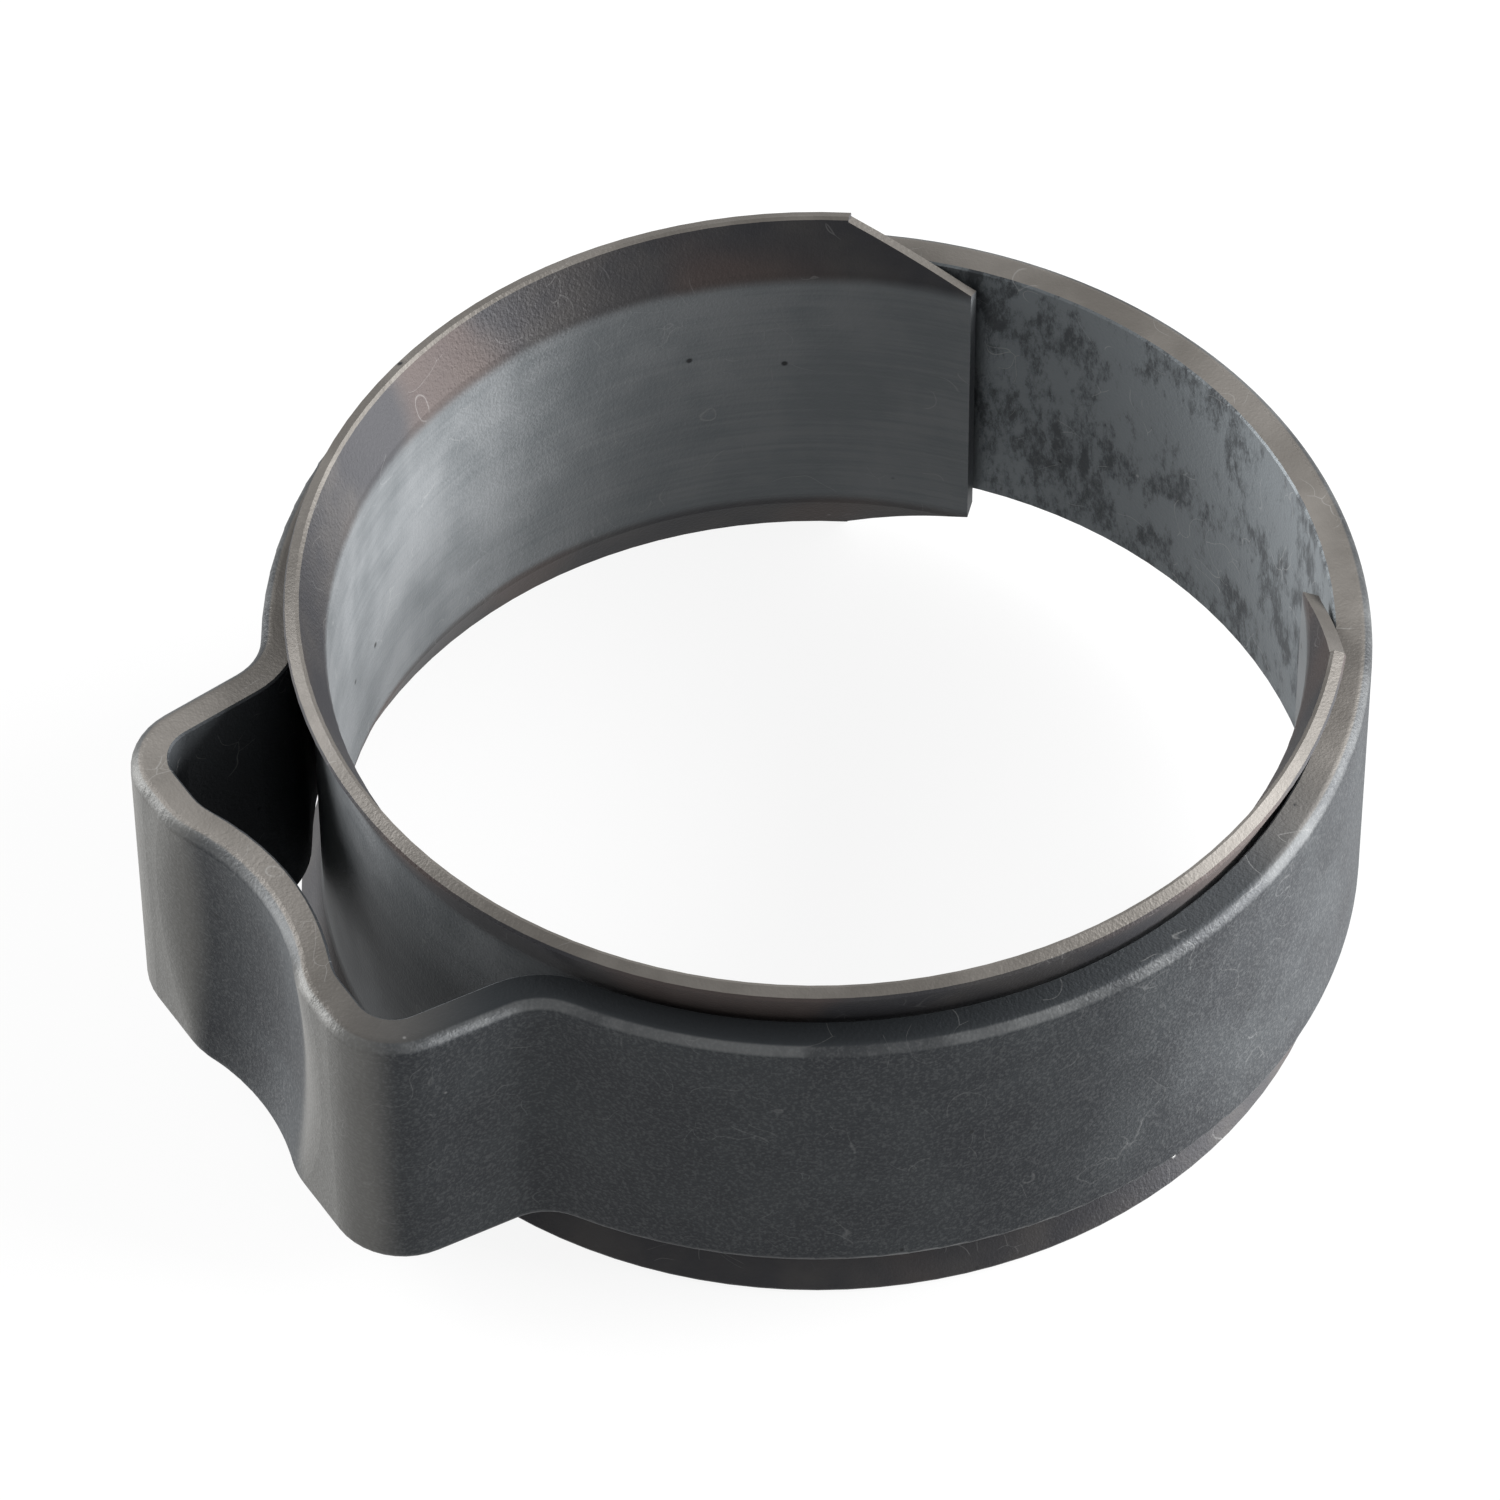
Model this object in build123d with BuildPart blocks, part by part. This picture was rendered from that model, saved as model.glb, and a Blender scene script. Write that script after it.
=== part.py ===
from build123d import *
from math import degrees, radians, sqrt, tan
import os

# One-ear hose clamp: a closed steel band with a pinch ear, and a thin flared insert ring inside it.
# Millimetres. The ring's axis is Z, the ear points along -X, and the origin is on the axis at the
# middle of the band's width.

# Band
band_outer_radius = 13.0
band_thickness = 0.9
band_width = 7.7
outer_edge_round = 0.3
inner_edge_chamfer = 0.05

# Ear, measured over its outer faces
ear_height = 2.85
ear_crown_width = 11.6
ear_leg_lean = 5.0
ear_corner_radius = 1.8
ear_root_radius = 1.4

# Dimple pressed into the ear's crown, deepest a little above the middle of the band and shallowest
# at the lower rim. The margin is what is left at each side of it, up to the rounded corner. The crease
# is rounded over most of the margin and leaves a narrow flat landing.
dimple_depth = 0.85
dimple_rim_depth = 0.34
dimple_rise = 0.9
dimple_margin = 1.05
dimple_crease_radius = 1.5
dimple_landing = 0.18
dimple_sections = 5

# Insert ring
insert_thickness = 0.4
insert_clearance = 0.23
edge_clearance = 0.13
insert_drop = 0.3
flange_height = 1.4
flange_flare = 0.58
flange_bend_radius = 0.5
flange_edge_chamfer = 0.07
insert_gap_angle = 65.0
insert_turn = 5.6
corner_cut_length = 3.2

# Sizes that follow from those above
crown_x = -(band_outer_radius + ear_height)
ear_base_width = ear_crown_width - 2 * crown_x * tan(radians(ear_leg_lean))
crown_flat_width = ear_crown_width - 2 * ear_corner_radius * tan(radians(90 - ear_leg_lean) / 2)
crown_patch_width = crown_flat_width - 2 * dimple_landing
dimple_width = crown_flat_width - 2 * dimple_margin
dimple_runout = (dimple_depth - dimple_rim_depth) / (band_width / 2 + dimple_rise) ** 2
punch_radius = (dimple_width**2 / 4 + dimple_depth**2) / (2 * dimple_depth)
insert_outer_radius = band_outer_radius - band_thickness - insert_clearance
flange_root_depth = (insert_clearance - edge_clearance) * flange_height / flange_flare
flange_root_z = band_width / 2 - inner_edge_chamfer - flange_root_depth + insert_drop
flange_rim_z = flange_root_z + flange_height
flange_rim_radius = insert_outer_radius + flange_flare
flange_slope_length = sqrt(flange_height**2 + flange_flare**2)
corner_cut_span = degrees(corner_cut_length / insert_outer_radius)


def insert_plane(angle):
    """Upright plane through the ring's axis at the insert's middle height, local X along the angle."""
    outward = Vector(1, 0, 0).rotate(Axis.Z, angle)
    return Plane(origin=(0, 0, -insert_drop), x_dir=outward, z_dir=outward.rotate(Axis.Z, -90))


def flange_plane(angle, gap_side, rim_side):
    """Plane on the inside of a flange, its origin at the flange's root at the angle. Local X runs back
    from the gap along the strip and local Y runs up the flange."""
    outward = Vector(1, 0, 0).rotate(Axis.Z, angle)
    root_height = rim_side * flange_root_z - insert_drop
    root = outward * (insert_outer_radius - insert_thickness) + Vector(0, 0, root_height)
    up_flange = outward * flange_flare + Vector(0, 0, rim_side * flange_height)
    along = outward.rotate(Axis.Z, gap_side * 90)
    return Plane(origin=root, x_dir=along, z_dir=along.cross(up_flange))


# The pressed-in middle of the crown: plan sections up the band's width, each as thick as the band.
# The punch is a barrel, so the dimple gets shallower and narrower away from its deepest height.
with BuildPart() as dimpled_crown:
    for step in range(dimple_sections):
        height = band_width * (step / (dimple_sections - 1) - 0.5)
        depth = dimple_depth - dimple_runout * (height - dimple_rise) ** 2
        half_width = sqrt(depth * (2 * punch_radius - depth))
        with BuildSketch(Plane.XY.offset(height)):
            with BuildLine() as outer_line:
                Line((crown_x, -crown_patch_width / 2), (crown_x, -half_width))
                ThreePointArc((crown_x, -half_width), (crown_x + depth, 0), (crown_x, half_width))
                Line((crown_x, half_width), (crown_x, crown_patch_width / 2))
                creases = outer_line.vertices().sort_by(Axis.Y)[1:-1]
                fillet(creases, dimple_crease_radius + band_thickness)
                offset(amount=band_thickness, kind=Kind.INTERSECTION, side=Side.RIGHT)
            make_face()
    loft()

with BuildPart() as clamp_band:
    with BuildSketch(Plane.XY.offset(-band_width / 2)) as band_section:
        with BuildLine():
            Polyline(
                (0, ear_base_width / 2),
                (crown_x, ear_crown_width / 2),
                (crown_x, -ear_crown_width / 2),
                (0, -ear_base_width / 2),
                close=True,
            )
        make_face()
        crown_corners = band_section.vertices().group_by(Axis.X)[0]
        fillet(crown_corners, ear_corner_radius)
        Circle(band_outer_radius)
        ear_roots = band_section.vertices(Select.LAST).filter_by(lambda corner: corner.X < 0)
        fillet(ear_roots, ear_root_radius)
        offset(amount=-band_thickness, mode=Mode.SUBTRACT)
    extrude(amount=band_width)
    with Locations((crown_x, 0, 0)):
        Box(
            band_thickness,
            crown_patch_width,
            band_width,
            align=(Align.MIN, Align.CENTER, Align.CENTER),
            mode=Mode.SUBTRACT,
        )
    add(dimpled_crown.part)
    rims = clamp_band.faces().filter_by(Axis.Z).sort_by(Axis.Z)
    fillet(rims[0].outer_wire().edges() + rims[-1].outer_wire().edges(), outer_edge_round)
    rims = clamp_band.faces().filter_by(Axis.Z).sort_by(Axis.Z)
    bore_edges = rims[0].inner_wires().edges() + rims[-1].inner_wires().edges()
    chamfer(bore_edges, inner_edge_chamfer)
clamp_band.part.label = "clamp_band"

# The insert is a strip bent into an open ring. It hangs a little low in the band, and its upper flange
# leans out past the band's inner edge at the edge clearance.
with BuildPart() as inner_insert:
    insert_start = insert_turn + insert_gap_angle / 2
    with BuildSketch(insert_plane(insert_start)) as strip_section:
        with BuildLine():
            FilletPolyline(
                (flange_rim_radius, -flange_rim_z),
                (insert_outer_radius, -flange_root_z),
                (insert_outer_radius, flange_root_z),
                (flange_rim_radius, flange_rim_z),
                radius=flange_bend_radius,
            )
            offset(amount=insert_thickness, side=Side.LEFT)
        make_face()
        rim_corners = strip_section.vertices().sort_by(Axis.Y)
        chamfer(rim_corners[:2] + rim_corners[-2:], flange_edge_chamfer)
    revolve(axis=Axis.Z, revolution_arc=360 - insert_gap_angle)

    # The strip's corners are cut off slantwise, square to the sheet, from the flange's root at the strip's
    # end back along its rim.
    for gap_side in (1, -1):
        cut_angle = insert_turn + gap_side * (insert_gap_angle + corner_cut_span) / 2
        for rim_side in (1, -1):
            with BuildSketch(flange_plane(cut_angle, gap_side, rim_side)):
                with BuildLine():
                    Polyline(
                        (-corner_cut_length / 2, 0),
                        (corner_cut_length / 2, flange_slope_length),
                        (corner_cut_length / 2, 2 * flange_slope_length),
                        (-corner_cut_length, 2 * flange_slope_length),
                        (-corner_cut_length, 0),
                        close=True,
                    )
                make_face()
            extrude(amount=flange_height, both=True, mode=Mode.SUBTRACT)
inner_insert.part.label = "inner_insert"

os.makedirs("parts", exist_ok=True)
export_step(clamp_band.part, "parts/clamp_band.step")
export_step(inner_insert.part, "parts/inner_insert.step")
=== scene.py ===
"""Looks for the ear hose clamp: worn dark steel on its two pieces, a pale floor, soft light, a camera."""

import math

import bpy
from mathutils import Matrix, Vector


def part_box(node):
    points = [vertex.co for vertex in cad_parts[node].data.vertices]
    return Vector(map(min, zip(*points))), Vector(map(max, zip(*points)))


MM = 0.001
PER_MM = 1 / MM

# Camera: its azimuth is measured from +X, and it aims at the middle of the ring.
CAMERA_AZIMUTH = -122.9
CAMERA_ELEVATION = 48.49
CAMERA_DISTANCE = 221 * MM
CAMERA_LENS = 223.9
CAMERA_SENSOR = 36.0
CAMERA_SHIFT_X = -0.0444
CAMERA_SHIFT_Y = -0.0118
CAMERA_CLIP = (10 * MM, 10.0)

# Studio, in metres, degrees and watts: lamp azimuths are measured from the camera's, to its right.
FLOOR_SIZE = 2.0
FLOOR_COLOUR = 0.8
FLOOR_WHITE = 0.9
WORLD_LIGHT = 0.3
LAMP_DISTANCE = 0.4
LAMPS = (
    # name, azimuth, elevation, width, height, power
    ("key", 96, 24, 0.38, 0.22, 7.0),
    ("fill", -112, 25, 0.25, 0.25, 2.6),
)

# Colours of the steel, linear
BAND_SKIN = ((0.012, 0.014, 0.017, 1.0), (0.021, 0.024, 0.027, 1.0))
CROWN_WORN_AND_LIT = (0.085, 0.084, 0.080, 1.0)
BAND_BORE = ((0.034, 0.038, 0.042, 1.0), (0.112, 0.124, 0.132, 1.0))
INSERT_SKIN = ((0.074, 0.081, 0.086, 1.0), (0.108, 0.114, 0.119, 1.0))
FLANGE_SKIN = ((0.022, 0.022, 0.025, 1.0), (0.036, 0.034, 0.034, 1.0))
BROWN_FILM = (0.050, 0.036, 0.032, 1.0)
SHEARED_EDGE = ((0.090, 0.083, 0.075, 1.0), (0.125, 0.116, 0.106, 1.0))
WORN_AND_HIGHLIT_STEEL = (0.240, 0.245, 0.245, 1.0)
SCRATCH = (0.330, 0.330, 0.325, 1.0)
PIT = (0.008, 0.009, 0.010, 1.0)

# Finish of the steel. Rolling lines run along the strip, so its gloss spreads across them. The band's
# and the insert's roughness swing about the skin's with the clouds.
METALLIC = 0.6
GLOSS_SPREAD = 0.8
GLOSS_TURN = 0.25
SKIN_ROUGHNESS = 0.54
EDGE_ROUGHNESS = 0.50
FLANGE_ROUGHNESS = 0.54
BAND_SWING = (-0.05, 0.05)
INSERT_SWING = (-0.06, 0.04)
BUMP_DEPTH = 0.010 * MM

# The band's outside, mm: radius, rounding of its rims, and the x where the ring leaves the ear's roots
BAND_RADIUS = 13.0
RIM_ROUNDING = 0.3
RING_START = -10.9
RING_BLEND = 0.3

# The crown of the ear, mm: x where its lighter skin begins and is whole, and how far from the dimple. That
# lighter skin is wear together with painted light.
CROWN_X = (-14.9, -15.6)
DIMPLE_SIDE = (1.9, 2.8)

# The bore, mm: x where its flecked grey begins and is whole; towards the ear it is painted dark, as shade
# together with oxide
BORE_SHADE_TO_GREY_X = (-8.0, 2.0)

# The darkened part of the band's rim, painted shade together with some oxide, mm: its middle, and how far
# from there it is whole and ends
RIM_SHADE_MIDDLE = (-5.5, -11.8, 3.9)
RIM_SHADE_REACH = (9.0, 14.0)

# Where the insert's flange begins and is whole, mm from its rim
FLANGE_FROM_RIM = (1.75, 1.35)

# Where an edge or a rounding begins and is whole, by how level its face is: 0 for a wall, 1 for a flat rim
BAND_EDGE = (0.88, 0.97)
BAND_ROUNDING = (0.10, 0.45)
INSERT_EDGE = (0.60, 0.80)

# Textures: their scales in features per mm, and the turn (radians) and stretch of the bore's flecks
GRAIN_SCALE = 11.0
CLOUD_SCALE = 0.35
FILM_SCALE = 0.18
ROLLED_SCALE = (0.22, 0.22, 9.0)
FLECK_SCALE = 2.2
FLECK_TURN = (0.7, 0.0, 0.6)
FLECK_STRETCH = (1.0, 1.0, 0.4)

# How much of each texture shows, from its low to its high
BARE_GRAIN = (0.0, 0.10)
# The roundings' lighter share is wear together with a painted highlight.
ROUNDING_WEAR_AND_HIGHLIGHT = (0.08, 0.30)
CLOUDED_FLECKS = (0.12, -0.02)
FILM_SHARE = (0.0, 0.6)
ROLLED_SHARE = 0.25
ROLLED_RELIEF = 0.12

# Hair scratches: cells per mm, width in cells, share of the places that keep them, and a seed. They are
# fainter on the band's skin than in its bore.
BAND_HAIR = {"scale": 0.55, "width": 0.012, "share": 0.42, "seed": 3.0}
INSERT_HAIR = {"scale": 0.5, "width": 0.010, "share": 0.40, "seed": 7.0}
BAND_HAIR_SHARE = (0.10, 0.35)
INSERT_HAIR_SHARE = 0.14
HAIR_BEND = 5.0
HAIR_BEND_SCALE = 0.5
HAIR_PATCH_SCALE = 0.9
HAIR_PATCH_BLEND = 0.06

# Specks: cells per mm, size in cells, and the shares of cells with a dark pit and with a bright nick
BAND_SPECKS = {"scale": 1.3, "size": 0.11, "dark": 0.08, "bright": 0.03}
INSERT_SPECKS = {"scale": 0.9, "size": 0.10, "dark": 0.14, "bright": 0.08}
SPECK_CORE = 0.4
BAND_NICK_SHARE = 0.6

# Sockets of the Mix node for each kind of data: A, B and the result
MIX_SOCKETS = {"RGBA": (6, 7, 2), "VECTOR": (4, 5, 1)}


def direction(azimuth, elevation):
    """Unit vector for an azimuth from +X and an elevation above the floor, both in degrees."""
    a = math.radians(azimuth)
    e = math.radians(elevation)
    return Vector((math.cos(a) * math.cos(e), math.sin(a) * math.cos(e), math.sin(e)))


class Shader:
    """Adds shader nodes to one tree, links them, and gives back their sockets."""

    def __init__(self, owner):
        owner.use_nodes = True
        self.tree = owner.node_tree
        self.tree.nodes.clear()

    def put(self, socket, value):
        if isinstance(value, bpy.types.NodeSocket):
            self.tree.links.new(value, socket)
        else:
            socket.default_value = value

    def add(self, kind, inputs=None, **settings):
        node = self.tree.nodes.new("ShaderNode" + kind)
        for name, value in settings.items():
            setattr(node, name, value)
        for name, value in (inputs or {}).items():
            self.put(node.inputs[name], value)
        return node

    def math(self, operation, a, b=0.0):
        return self.add("Math", {0: a, 1: b}, operation=operation).outputs[0]

    def span(self, value, low, high, to_low=0.0, to_high=1.0):
        """Eases value from low..high to to_low..to_high, and holds it at the ends."""
        inputs = {"Value": value, "From Min": low, "From Max": high, "To Min": to_low, "To Max": to_high}
        return self.add("MapRange", inputs, interpolation_type="SMOOTHSTEP").outputs[0]

    def mix(self, share, a, b, kind="RGBA"):
        first, second, result = MIX_SOCKETS[kind]
        return self.add("Mix", {0: share, first: a, second: b}, data_type=kind).outputs[result]

    def vector(self, operation, *values):
        """A vector operation on the values, which gives a vector."""
        return self.add("VectorMath", dict(enumerate(values)), operation=operation).outputs["Vector"]

    def measure(self, operation, *values):
        """A vector operation on the values, which gives a number."""
        return self.add("VectorMath", dict(enumerate(values)), operation=operation).outputs["Value"]

    def part_z(self, vector):
        return self.add("SeparateXYZ", {0: vector}).outputs[2]

    def scaled(self, vector, x, y, z):
        return self.add("Mapping", {"Vector": vector, "Scale": (x, y, z)}).outputs[0]

    def noise(self, vector, scale, detail, roughness=0.55):
        inputs = {"Vector": vector, "Scale": scale, "Detail": detail, "Roughness": roughness}
        return self.add("TexNoise", inputs).outputs["Fac"]

    def finish(self, surface, kind="OutputMaterial"):
        self.add(kind, {"Surface": surface})


class Strip(Shader):
    """The places, normals and marks that the steel of both pieces is made with."""

    def __init__(self, owner, name):
        super().__init__(owner)
        coordinates = self.add("TexCoord").outputs
        self.place = self.scaled(coordinates["Object"], PER_MM, PER_MM, PER_MM)
        self.flat_place = self.scaled(self.place, 1, 1, 0)
        self.x, self.y, self.height = self.add("SeparateXYZ", {0: self.place}).outputs
        self.set_normal(coordinates["Normal"])
        low, high = (corner.z * PER_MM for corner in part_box(name))
        from_middle = self.math("ABSOLUTE", self.math("SUBTRACT", self.height, (low + high) / 2))
        self.from_rim = self.math("SUBTRACT", (high - low) / 2, from_middle)
        self.grain = self.noise(self.place, GRAIN_SCALE, detail=1.0, roughness=0.7)
        self.cloud = self.noise(self.place, CLOUD_SCALE, detail=3.0, roughness=0.6)

    def set_normal(self, normal):
        self.normal = normal
        self.upright = self.math("ABSOLUTE", self.part_z(normal))

    def facing_axis(self):
        """1 on faces turned to the ring's axis, 0 on faces turned away from it."""
        return self.span(self.measure("DOT_PRODUCT", self.flat_place, self.normal), 1.0, -1.0)

    def round_off(self, radius, rounding, start):
        """Takes the normal of a ring's outside from its place, where x is past the start. The facets of
        its rounded rims are too coarse for a smooth gloss."""
        distance = self.measure("LENGTH", self.flat_place)
        outward = self.math("MAXIMUM", self.math("SUBTRACT", distance, radius - rounding), 0.0)
        upward = self.math("MAXIMUM", self.math("SUBTRACT", rounding, self.from_rim), 0.0)
        level = self.vector("MULTIPLY", self.vector("NORMALIZE", self.flat_place), outward)
        signed = self.math("MULTIPLY", upward, self.math("SIGN", self.height))
        raised = self.add("CombineXYZ", {"Z": signed}).outputs[0]
        rounded = self.vector("NORMALIZE", self.vector("ADD", level, raised))
        outside = self.math("SUBTRACT", 1.0, self.facing_axis())
        share = self.math("MULTIPLY", outside, self.span(self.x, start, start + RING_BLEND))
        self.set_normal(self.mix(share, self.normal, rounded, "VECTOR"))

    def world_normal(self):
        spaces = {"vector_type": "NORMAL", "convert_from": "OBJECT", "convert_to": "WORLD"}
        return self.add("VectorTransform", {"Vector": self.normal}, **spaces).outputs[0]

    def near(self, point, inner, outer):
        """1 within the inner distance of a point, falling to 0 at the outer, in mm."""
        return self.span(self.measure("DISTANCE", self.place, point), outer, inner)

    def hairlines(self, scale, width, share, seed):
        """Broken curved scratches: the borders of warped cells, kept in a share of the places."""
        moved = self.vector("ADD", self.place, (seed, 2 * seed, 3 * seed))
        bends = {"Vector": moved, "Scale": HAIR_BEND_SCALE, "Detail": 1.0}
        bent = self.add("TexNoise", bends).outputs["Color"]
        warped = self.vector("MULTIPLY_ADD", bent, (HAIR_BEND, HAIR_BEND, HAIR_BEND), moved)
        cells = self.add("TexVoronoi", {"Vector": warped, "Scale": scale}, feature="DISTANCE_TO_EDGE")
        line = self.span(cells.outputs["Distance"], width, 0.0)
        patch = self.noise(moved, HAIR_PATCH_SCALE, detail=0.0)
        kept = self.span(patch, 1.0 - share, 1.0 + HAIR_PATCH_BLEND - share)
        return self.math("MULTIPLY", line, kept)

    def specks(self, scale, size, dark, bright):
        """Small round marks: dark pits at one share of random cells and bright nicks at another."""
        cells = self.add("TexVoronoi", {"Vector": self.place, "Scale": scale}, feature="F1").outputs
        dot = self.span(cells["Distance"], size, SPECK_CORE * size)
        chosen = self.add("SeparateXYZ", {0: cells["Color"]}).outputs[0]
        pits = self.math("MULTIPLY", dot, self.math("LESS_THAN", chosen, dark))
        nicks = self.math("MULTIPLY", dot, self.math("GREATER_THAN", chosen, 1.0 - bright))
        return pits, nicks

    def shade(self, pair, value):
        return self.mix(self.span(value, 0.35, 0.65), *pair)

    def clouded_roughness(self, swing):
        low, high = swing
        return self.span(self.cloud, 0.3, 0.7, SKIN_ROUGHNESS + low, SKIN_ROUGHNESS + high)

    def surface(self, colour, roughness, relief):
        """The steel itself, with its relief as bump over its normal."""
        bumps = {"Height": relief, "Distance": BUMP_DEPTH, "Strength": 1.0, "Normal": self.world_normal()}
        inputs = {
            "Base Color": colour,
            "Metallic": METALLIC,
            "Roughness": roughness,
            "Anisotropic": GLOSS_SPREAD,
            "Anisotropic Rotation": GLOSS_TURN,
            "Tangent": self.add("Tangent", direction_type="RADIAL", axis="Z").outputs[0],
            "Normal": self.add("Bump", bumps).outputs[0],
        }
        self.finish(self.add("BsdfPrincipled", inputs).outputs[0])


def mark(s, colour, bright, dark):
    """Adds bright scratches and nicks, then dark pits, to a colour."""
    colour = s.mix(bright, colour, SCRATCH)
    return s.mix(dark, colour, PIT)


def band_skin(s):
    """Dark blue-grey oxide with a fine bare grain, lighter on the crown and on the roundings: wear there,
    together with painted light on the crown and a painted highlight on the roundings.
    """
    skin = s.shade(BAND_SKIN, s.cloud)
    off_dimple = s.span(s.math("ABSOLUTE", s.y), *DIMPLE_SIDE)
    # The crown's flats are painted lighter: wear together with painted light.
    skin = s.mix(s.math("MULTIPLY", s.span(s.x, *CROWN_X), off_dimple), skin, CROWN_WORN_AND_LIT)
    skin = s.mix(s.span(s.grain, 0.40, 0.75, *BARE_GRAIN), skin, WORN_AND_HIGHLIT_STEEL)
    # The roundings are painted lighter: wear together with a painted highlight.
    rounding = s.span(s.upright, *BAND_ROUNDING)
    worn_and_highlit = s.math("MULTIPLY", rounding, s.span(s.cloud, 0.35, 0.65, *ROUNDING_WEAR_AND_HIGHLIGHT))
    return s.mix(worn_and_highlit, skin, WORN_AND_HIGHLIT_STEEL)


def band_bore(s):
    """Grey with slanted dark flecks near the insert's gap, dark towards and in the ear, as painted shade
    together with oxide.
    """
    turned = {"Vector": s.place, "Rotation": FLECK_TURN, "Scale": FLECK_STRETCH}
    fleck = s.noise(s.add("Mapping", turned).outputs[0], FLECK_SCALE, detail=5.0, roughness=0.8)
    patchy = s.math("ADD", fleck, s.span(s.cloud, 0.42, 0.60, *CLOUDED_FLECKS))
    # Towards the ear the bore is painted dark: painted shade, with oxide.
    bare = s.math("MULTIPLY", s.span(patchy, 0.38, 0.60), s.span(s.x, *BORE_SHADE_TO_GREY_X))
    return s.mix(bare, *BAND_BORE)


def band_steel():
    """Dark oxide outside and flecked grey in the bore, with sheared rims that are painted dark on one
    side, as shade together with oxide.
    """
    material = bpy.data.materials.new("band_steel")
    s = Strip(material, "clamp_band")
    s.round_off(BAND_RADIUS, RIM_ROUNDING, RING_START)
    bore = s.facing_axis()
    edge = s.span(s.upright, *BAND_EDGE)
    colour = s.mix(bore, band_skin(s), band_bore(s))
    # One side of the rim is painted dark: painted shade, with some oxide.
    rim = s.mix(s.near(RIM_SHADE_MIDDLE, *RIM_SHADE_REACH), s.shade(SHEARED_EDGE, s.cloud), BAND_SKIN[1])
    colour = s.mix(edge, colour, rim)
    hair = s.math("MULTIPLY", s.hairlines(**BAND_HAIR), s.span(bore, 0.0, 1.0, *BAND_HAIR_SHARE))
    pits, nicks = s.specks(**BAND_SPECKS)
    nicks = s.math("MULTIPLY", nicks, BAND_NICK_SHARE)
    colour = mark(s, colour, s.math("MAXIMUM", hair, nicks), pits)
    rough = s.span(edge, 0.0, 1.0, s.clouded_roughness(BAND_SWING), EDGE_ROUGHNESS)
    s.surface(colour, rough, s.grain)
    return material


def insert_steel():
    """Lighter rolled steel, with dark flanges that are brown in places, and bare sheared edges."""
    material = bpy.data.materials.new("insert_steel")
    s = Strip(material, "inner_insert")
    rolled = s.noise(s.scaled(s.place, *ROLLED_SCALE), 1.0, detail=2.0, roughness=0.6)
    lined = s.math("MULTIPLY", rolled, ROLLED_SHARE)
    clouded = s.math("MULTIPLY", s.cloud, 1.0 - ROLLED_SHARE)
    wall = s.shade(INSERT_SKIN, s.math("ADD", lined, clouded))
    flange = s.span(s.from_rim, *FLANGE_FROM_RIM)
    colour = s.mix(flange, wall, s.shade(FLANGE_SKIN, s.cloud))
    film = s.span(s.noise(s.place, FILM_SCALE, detail=1.0), 0.50, 0.62, *FILM_SHARE)
    colour = s.mix(s.math("MULTIPLY", flange, film), colour, BROWN_FILM)
    edge = s.span(s.upright, *INSERT_EDGE)
    colour = s.mix(edge, colour, s.shade(SHEARED_EDGE, s.cloud))
    hair = s.math("MULTIPLY", s.hairlines(**INSERT_HAIR), INSERT_HAIR_SHARE)
    pits, nicks = s.specks(**INSERT_SPECKS)
    colour = mark(s, colour, s.math("MAXIMUM", hair, nicks), pits)
    smooth = s.math("MAXIMUM", edge, flange)
    rough = s.span(smooth, 0.0, 1.0, s.clouded_roughness(INSERT_SWING), FLANGE_ROUGHNESS)
    s.surface(colour, rough, s.math("ADD", s.grain, s.math("MULTIPLY", rolled, ROLLED_RELIEF)))
    return material


def soften_facets(node):
    """Takes each facet's share of a shared normal by its area, so flats stay flat beside roundings."""
    modifier = node.modifiers.new("weighted_normals", "WEIGHTED_NORMAL")
    modifier.mode = "FACE_AREA"
    modifier.keep_sharp = True


def dress(node, material):
    node.data.materials.clear()
    node.data.materials.append(material)
    soften_facets(node)


def add_camera():
    data = bpy.data.cameras.new("camera")
    data.lens = CAMERA_LENS
    data.sensor_width = CAMERA_SENSOR
    data.shift_x = CAMERA_SHIFT_X
    data.shift_y = CAMERA_SHIFT_Y
    data.clip_start, data.clip_end = CAMERA_CLIP
    camera = bpy.data.objects.new("camera", data)
    bpy.context.scene.collection.objects.link(camera)
    outward = direction(CAMERA_AZIMUTH, CAMERA_ELEVATION)
    camera.location = outward * CAMERA_DISTANCE
    camera.rotation_euler = outward.to_track_quat("Z", "Y").to_euler()
    bpy.context.scene.camera = camera


def add_lamp(name, azimuth, elevation, width, height, power):
    data = bpy.data.lights.new(name, "AREA")
    data.shape = "RECTANGLE"
    data.size = width
    data.size_y = height
    data.energy = power
    lamp = bpy.data.objects.new(name, data)
    bpy.context.scene.collection.objects.link(lamp)
    outward = direction(CAMERA_AZIMUTH + azimuth, elevation)
    lamp.location = outward * LAMP_DISTANCE
    lamp.rotation_euler = outward.to_track_quat("Z", "Y").to_euler()


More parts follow.
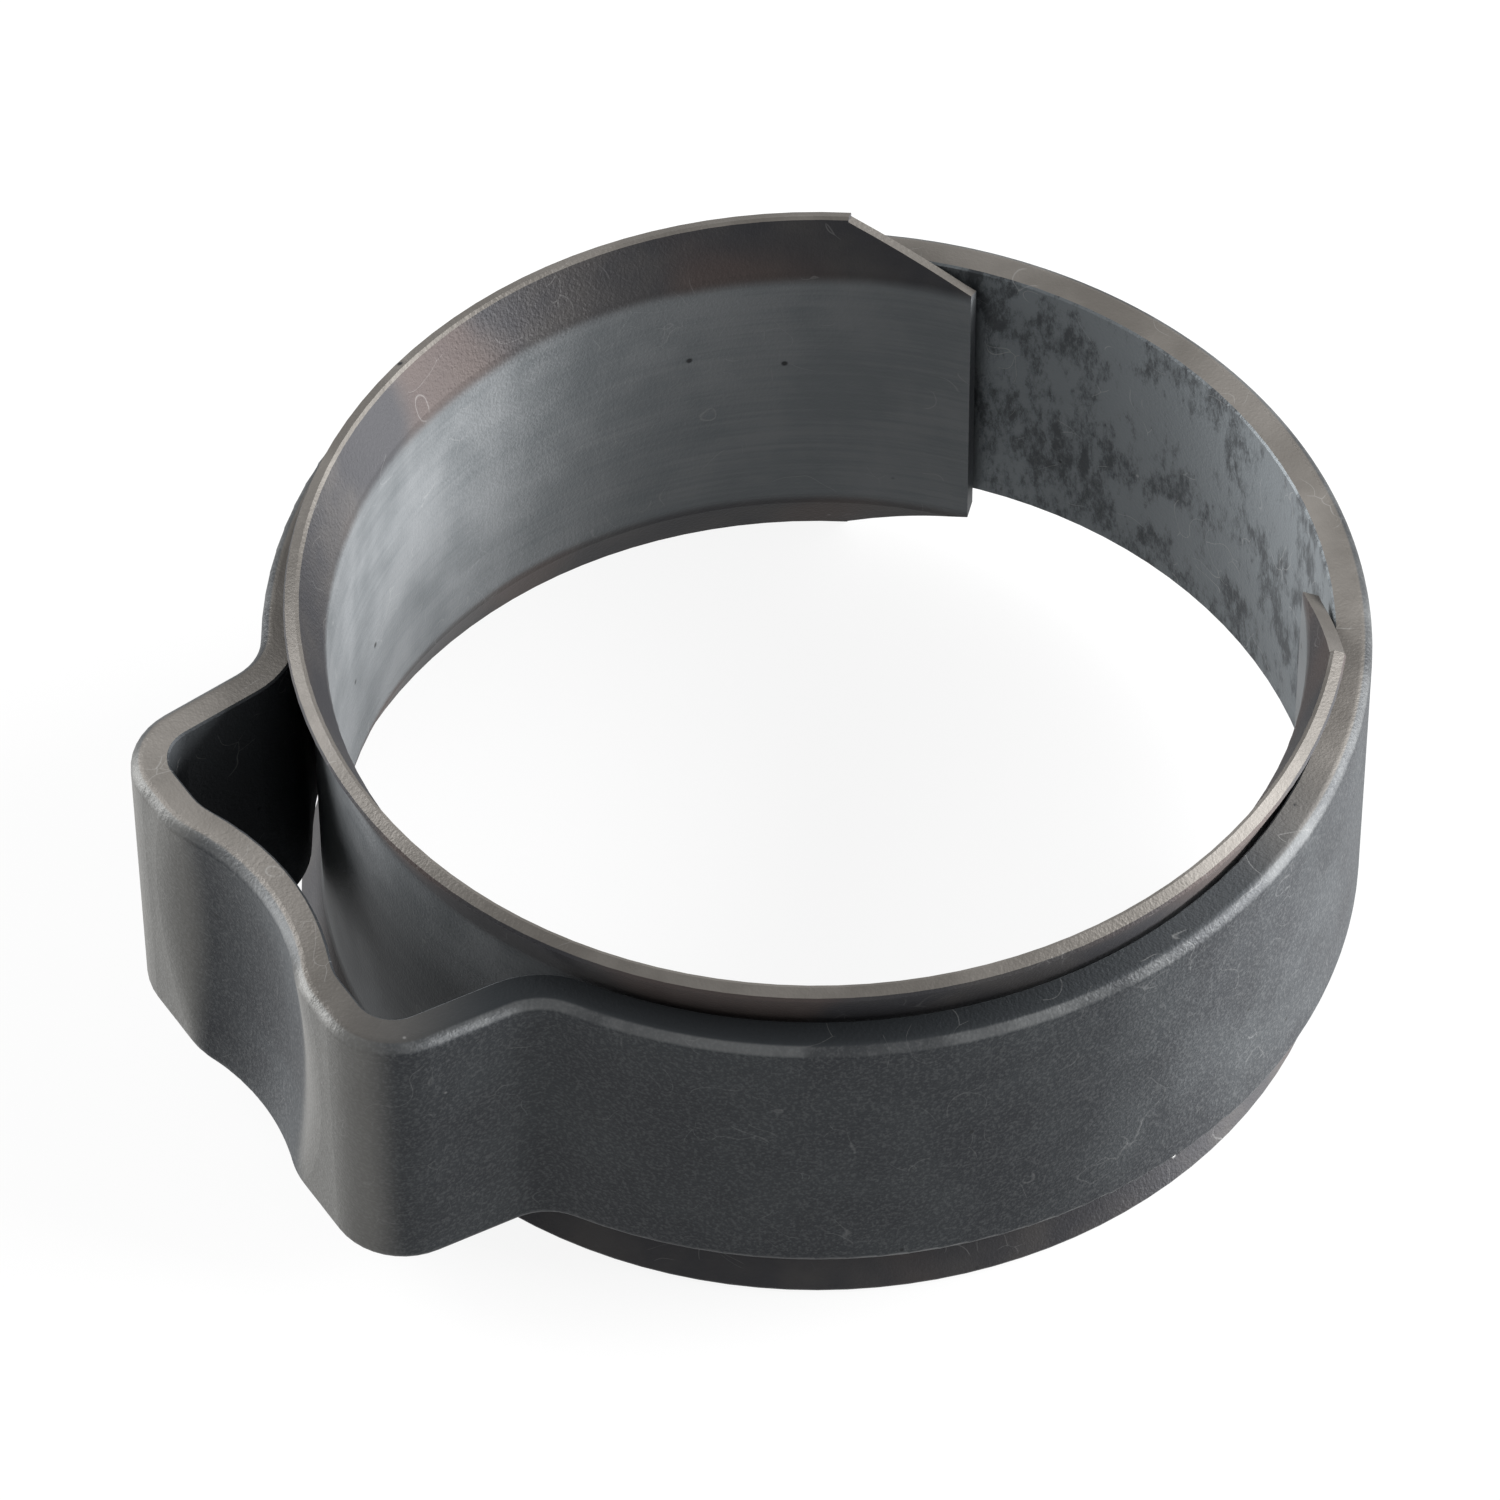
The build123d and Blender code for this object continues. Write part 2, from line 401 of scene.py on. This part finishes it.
def seen(s):
    """1 on rays that look at the background: from the camera, off metal or through glass."""
    path = s.add("LightPath").outputs
    rays = s.math("MAXIMUM", path["Is Camera Ray"], path["Is Glossy Ray"])
    return s.math("MAXIMUM", rays, path["Is Transmission Ray"])


def add_floor(height):
    half = FLOOR_SIZE / 2
    corners = [(-half, -half, height), (half, -half, height), (half, half, height), (-half, half, height)]
    mesh = bpy.data.meshes.new("floor")
    mesh.from_pydata(corners, [], [(0, 1, 2, 3)])
    floor = bpy.data.objects.new("floor", mesh)
    bpy.context.scene.collection.objects.link(floor)
    material = bpy.data.materials.new("pale_floor")
    s = Shader(material)
    paint = s.add("BsdfDiffuse", {"Color": (FLOOR_COLOUR, FLOOR_COLOUR, FLOOR_COLOUR, 1.0)})
    white = s.add("Emission", {"Strength": 1.0})
    share = s.math("MULTIPLY", seen(s), FLOOR_WHITE)
    s.finish(s.add("MixShader", {0: share, 1: paint.outputs[0], 2: white.outputs[0]}).outputs[0])
    mesh.materials.append(material)


def add_world():
    world = bpy.data.worlds.new("studio")
    bpy.context.scene.world = world
    s = Shader(world)
    strength = s.span(seen(s), 0.0, 1.0, WORLD_LIGHT, 1.0)
    background = s.add("Background", {"Color": (1.0, 1.0, 1.0, 1.0), "Strength": strength})
    s.finish(background.outputs[0], "OutputWorld")


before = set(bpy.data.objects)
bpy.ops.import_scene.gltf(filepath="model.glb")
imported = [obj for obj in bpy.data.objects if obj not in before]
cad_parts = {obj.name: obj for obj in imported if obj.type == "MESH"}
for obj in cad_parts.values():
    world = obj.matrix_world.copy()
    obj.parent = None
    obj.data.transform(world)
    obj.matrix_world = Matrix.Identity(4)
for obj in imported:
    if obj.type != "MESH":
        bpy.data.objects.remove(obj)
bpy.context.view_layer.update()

dress(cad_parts["clamp_band"], band_steel())
dress(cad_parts["inner_insert"], insert_steel())

add_camera()
add_floor(min(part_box(name)[0].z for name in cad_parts))
add_world()
for lamp in LAMPS:
    add_lamp(*lamp)

bpy.context.scene.view_settings.view_transform = "Standard"
